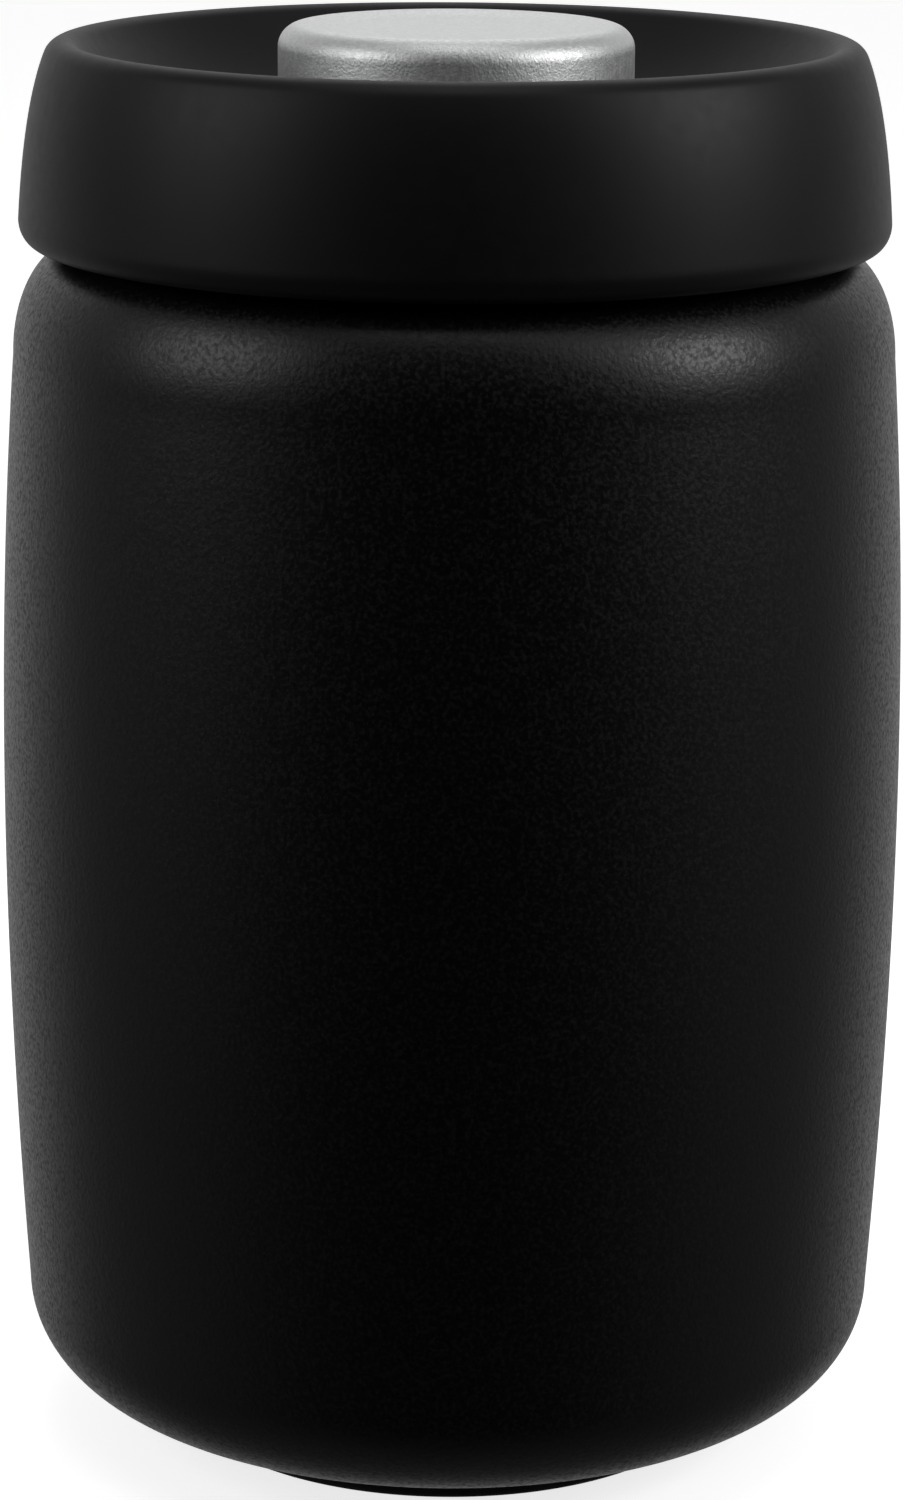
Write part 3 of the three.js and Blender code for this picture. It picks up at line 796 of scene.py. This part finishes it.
def make_cylinder():
    """The clear pump cylinder with its flange, and the O-ring under it."""
    _, bottom, top = node_size("pump_cylinder")
    bore = 15.0
    flange_r = 20.0
    flange_top = bottom + 1.5
    outer = 16.6
    corners = [
        (bore, bottom, 0.2),
        (flange_r, bottom, 0.2),
        (flange_r, flange_top, 0.3),
        (outer, flange_top, 0.5),
        (outer, top, 0.3),
        (bore + 0.4, top, 0.2),
        (bore, top - 0.4, 0.2),
    ]
    outline = eased(corners, closed=True)
    cylinder = new_object("clear_cylinder", lathe_mesh("clear_cylinder", outline, closed=True, flats=128))
    settle(cylinder, SMOKY, "lid", ["pump_cylinder"])
    ring_r, low, high = node_size("cylinder_oring")
    section = (high - low) / 2
    ring = arc(ring_r - section, (low + high) / 2, section, section, 0, 350, 35)
    oring = new_object("flange_oring", lathe_mesh("flange_oring", ring, closed=True, flats=128))
    settle(oring, RUBBER, "lid", ["cylinder_oring"])


# ---- valves ----
def make_intake_valve():
    """The umbrella valve: a barbed stem through the liner's floor and a thin domed flap over it."""
    radius, bottom, top = node_size("intake_valve")
    stem = 1.3
    seat = LINER_BOTTOM + 2.9
    corners = [
        (0, bottom, 0),
        (2.0, bottom, 0.4),
        (2.4, bottom + 0.7, 0.2),
        (2.2, bottom + 1.2, 0.2),
        (stem, bottom + 1.4, 0.2),
        (stem, seat, 0.2),
        (radius, seat, 0.1),
        (radius, seat + 0.4, 0.15),
        (3.0, top - 0.1, 1.0),
        (0, top, 0),
    ]
    valve = new_object("umbrella_valve", lathe_mesh("umbrella_valve", eased(corners), flats=96))
    settle(valve, SILICONE, "intake_valve", ["intake_valve"])


def make_vent():
    """The vent pin with its washer and the small spring that closes it."""
    place = node_middle("vent_pin")
    _, bottom, top = node_size("vent_pin")
    flange_top = LINER_BOTTOM - 1.9
    flange_bottom = flange_top - 0.7
    flange_r = 2.8
    pin_r = 1.2
    tail_r = 1.0
    corners = [
        (0, bottom, 0),
        (tail_r, bottom, 0.2),
        (tail_r, flange_bottom, 0.1),
        (flange_r, flange_bottom, 0.15),
        (flange_r, flange_top, 0.15),
        (pin_r, flange_top, 0.1),
        (pin_r, top, 0.4),
        (0, top, 0),
    ]
    pin = new_object("vent_plunger", lathe_mesh("vent_plunger", eased(corners), flats=48, place=place))
    settle(pin, TURNED, "vent", ["vent_pin"])
    _, low, high = node_size("vent_seal")
    bore = 1.5
    edge = 3.4
    corners = [
        (bore, low, 0.1),
        (edge, low, 0.3),
        (edge, high - 0.3, 0.2),
        (edge - 0.8, high, 0.2),
        (bore, high, 0.1),
    ]
    washer = eased(corners, closed=True)
    seal = new_object("vent_washer", lathe_mesh("vent_washer", washer, closed=True, flats=48, place=place))
    settle(seal, SILICONE, "vent", ["vent_seal"])
    _, low, high = node_size("vent_spring")
    spring = new_object("vent_coil", coil_mesh("vent_coil", 1.9, 0.5, 4.5, low, high, place=place))
    settle(spring, WIRE, "vent", ["vent_spring"])
    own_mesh(spring)


# ---- button ----
BUTTON_R, BUTTON_BOTTOM, BUTTON_TOP = node_size("button_cap")
DISH = 0.6


def make_button_cap():
    """The drawn metal cap: a full rounding, then a shallow dish."""
    rounding = 3.0
    edge_r = BUTTON_R - rounding
    edge_z = BUTTON_TOP - rounding
    inner = BUTTON_R - 1.0
    ceiling = BUTTON_TOP - DISH - 0.6
    dish_floor = BUTTON_TOP - DISH
    dish = bezier(
        (edge_r, BUTTON_TOP),
        (edge_r - 1.6, BUTTON_TOP),
        (edge_r - 2.4, dish_floor),
        (edge_r - 6, dish_floor),
        16,
    )
    outline = [
        (0, ceiling),
        *arc(edge_r, edge_z, inner - edge_r, ceiling - edge_z, 90, 0, 10),
        (inner, BUTTON_BOTTOM + 0.2),
        (inner + 0.2, BUTTON_BOTTOM),
        (BUTTON_R - 0.3, BUTTON_BOTTOM),
        (BUTTON_R, BUTTON_BOTTOM + 0.3),
        *arc(edge_r, edge_z, rounding, rounding, 0, 90, 20),
        *dish,
        (0, dish_floor),
    ]
    cap = new_object("metal_button_cap", lathe_mesh("metal_button_cap", outline))
    settle(cap, SATIN, "button", ["button_cap"])


def paint_node(node, material):
    """Keep a CAD node whose shape is right, and give it a better material."""
    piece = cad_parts[node]
    piece.data.materials.clear()
    piece.data.materials.append(material)
    smooth(piece, 30)


def make_button_inside():
    """What the button carries inside the lid: core, piston, seal, screw and return spring."""
    paint_node("button_core", BLACK)
    paint_node("release_ring", GREY)
    _, bottom, top = node_size("piston")
    piston_r = 14.3
    groove_r = 12.2
    groove_low = bottom + 1.2
    groove_high = bottom + 3.0
    rod_bore = 1.8
    head_bore = 3.4
    head_floor = bottom + 1.8
    corners = [
        (head_bore, bottom, 0.2),
        (piston_r, bottom, 0.3),
        (piston_r, groove_low, 0.2),
        (groove_r, groove_low, 0.2),
        (groove_r, groove_high, 0.2),
        (piston_r, groove_high, 0.2),
        (piston_r, top, 0.3),
        (rod_bore, top, 0.2),
        (rod_bore, head_floor, 0.1),
        (head_bore, head_floor, 0.1),
    ]
    outline = eased(corners, closed=True)
    piston = new_object("pump_piston", lathe_mesh("pump_piston", outline, closed=True, flats=128))
    settle(piston, GREY, "button", ["piston"])
    lip, low, high = node_size("piston_seal")
    seal_bore = groove_r + GAP
    corners = [
        (seal_bore, low, 0.1),
        (lip, low, 0.15),
        (lip - 0.3, (low + high) / 2, 0.2),
        (lip, high, 0.15),
        (seal_bore, high, 0.1),
    ]
    outline = eased(corners, closed=True)
    seal = new_object("lip_seal", lathe_mesh("lip_seal", outline, closed=True, flats=128))
    settle(seal, RUBBER, "button", ["piston_seal"])
    _, low, high = node_size("piston_screw")
    head = 2.9
    shank = 1.4
    shoulder = low + 1.3
    corners = [
        (0, low, 0),
        (head, low, 0.4),
        (head, shoulder, 0.1),
        (shank, shoulder, 0.1),
        (shank, high - 0.9, 0.2),
        (0, high, 0),
    ]
    screw = new_object("rod_screw", lathe_mesh("rod_screw", eased(corners), flats=48))
    settle(screw, TURNED, "button", ["piston_screw"])
    _, low, high = node_size("return_spring")
    spring = new_object("return_coil", coil_mesh("return_coil", 18.1, 1.1, 5.5, low, high))
    settle(spring, WIRE, "button", ["return_spring"])
    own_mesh(spring)


make_jar()
make_foot()
make_lid_shell()
make_lid_bosses()
make_liner()
make_gasket()
make_filter_cup()
make_filter_disc()
make_lid_screws()
make_cylinder()
make_intake_valve()
make_vent()
make_button_cap()
make_button_inside()


# ---- stage: floor, world, lights, camera ----
WORLD_LEVELS = [
    (0.0, 0.0),
    (0.05, 0.005),
    (0.11, 0.02),
    (0.19, 0.06),
    (0.28, 0.12),
    (0.4, 0.155),
    (0.7, 0.185),
    (0.88, 0.6),
    (1.0, 0.68),
]  # (how far round from the front to the back, brightness)
WALL_AWAY = 4000  # the backdrop's radius and height, in millimetres


def backdrop_material(name, glow):
    """Near-white matt paper that is also lit from within, so that it stays pale."""
    s = Surface(name, (0.8, 0.8, 0.8), 0.9, specular=0.0)
    s.shader.inputs["Emission Color"].default_value = (1, 1, 1, 1)
    s.shader.inputs["Emission Strength"].default_value = glow
    return s.material


def make_stage():
    """A pale floor, and a pale wall all round it that no light is stopped by."""
    floor = new_object("floor", lathe_mesh("floor", [(0, 0), (400, 0), (1500, 0), (WALL_AWAY, 0)], flats=64))
    floor.data.flip_normals()
    floor.data.materials.append(backdrop_material("floor_paper", 0.78))
    corners = [(WALL_AWAY, 0), (WALL_AWAY, WALL_AWAY), (0, WALL_AWAY)]
    wall = new_object("wall", lathe_mesh("wall", corners, flats=64))
    wall.data.materials.append(backdrop_material("wall_paper", 0.95))
    for piece in (floor, wall):
        piece.visible_glossy = False
        piece.visible_diffuse = False
        piece.visible_transmission = False
        piece.visible_shadow = False


def make_world():
    """A soft studio seen only in reflections: dark in front, pale at the sides and palest behind."""
    world = bpy.data.worlds.new("studio")
    bpy.context.scene.world = world
    world.use_nodes = True
    nodes = world.node_tree.nodes
    links = world.node_tree.links
    turn = radians(2)
    behind = nodes.new("ShaderNodeVectorMath")
    behind.operation = "DOT_PRODUCT"
    place = nodes.new("ShaderNodeTexCoord").outputs["Generated"]
    links.new(place, behind.inputs[0])
    behind.inputs[1].default_value = (-sin(turn), cos(turn), 0)
    spread = nodes.new("ShaderNodeMapRange")
    spread.inputs["From Min"].default_value = -1
    links.new(behind.outputs["Value"], spread.inputs["Value"])
    ramp = nodes.new("ShaderNodeValToRGB")
    links.new(spread.outputs["Result"], ramp.inputs["Fac"])
    elements = ramp.color_ramp.elements
    while len(elements) < len(WORLD_LEVELS):
        elements.new(0.5)
    for element, (position, level) in zip(elements, WORLD_LEVELS):
        element.position = position
        element.color = (level, level, level, 1)
    links.new(ramp.outputs["Color"], nodes["Background"].inputs["Color"])
    split = nodes.new("ShaderNodeSeparateXYZ")
    links.new(place, split.inputs["Vector"])
    below = nodes.new("ShaderNodeMapRange")
    below.inputs["From Min"].default_value = -0.7
    below.inputs["From Max"].default_value = -0.05
    below.inputs["To Min"].default_value = 0.65
    links.new(split.outputs["Z"], below.inputs["Value"])
    links.new(below.outputs["Result"], nodes["Background"].inputs["Strength"])


def softbox(name, azimuth, elevation, distance, size, radiance):
    """A square area light facing the object. Azimuth 0 is the camera's side and 90 the right."""
    light = bpy.data.lights.new(name, "AREA")
    light.shape = "SQUARE"
    light.size = size
    light.energy = radiance * pi * size * size
    lamp = new_object(name, light)
    target = Vector((0, 0, 0.14))
    a = radians(azimuth)
    e = radians(elevation)
    lamp.location = target + distance * Vector((sin(a) * cos(e), -cos(a) * cos(e), sin(e)))
    lamp.rotation_euler = (target - lamp.location).to_track_quat("-Z", "Y").to_euler()
    lamp.visible_camera = False


def make_lights():
    softbox("softbox_left", -66, 24, 0.9, 0.48, 2.5)
    softbox("softbox_right", 70, 24, 0.9, 0.36, 6.4)
    softbox("softbox_high", 46, 42, 1.0, 0.4, 0.9)
    softbox("softbox_top", 0, 78, 1.2, 0.75, 1.2)
    softbox("softbox_back", 180, 50, 1.3, 0.7, 0.8)


def make_camera():
    """The photograph's viewpoint: looking down at the front, with a slight roll."""
    distance = 0.6
    height = 0.2449
    pitch = radians(14.373)
    roll = radians(0.4)
    yaw = radians(0.0123)
    data = bpy.data.cameras.new("camera")
    data.sensor_width = 36
    data.lens = 112.1
    data.clip_start = 0.01
    camera = new_object("camera", data)
    forward = Vector((0, cos(pitch), -sin(pitch)))
    up = Vector((0, sin(pitch), cos(pitch)))
    right = Vector((1, 0, 0))
    rolled_right = cos(roll) * right + sin(roll) * up
    rolled_up = cos(roll) * up - sin(roll) * right
    axes = Matrix((rolled_right, rolled_up, -forward)).transposed().to_4x4()
    standing = Matrix.Translation((0, -distance, height))
    camera.matrix_world = standing @ Matrix.Rotation(-yaw, 4, "Z") @ axes
    bpy.context.scene.camera = camera


make_stage()
make_world()
make_lights()
make_camera()
bpy.context.scene.view_settings.view_transform = "Standard"
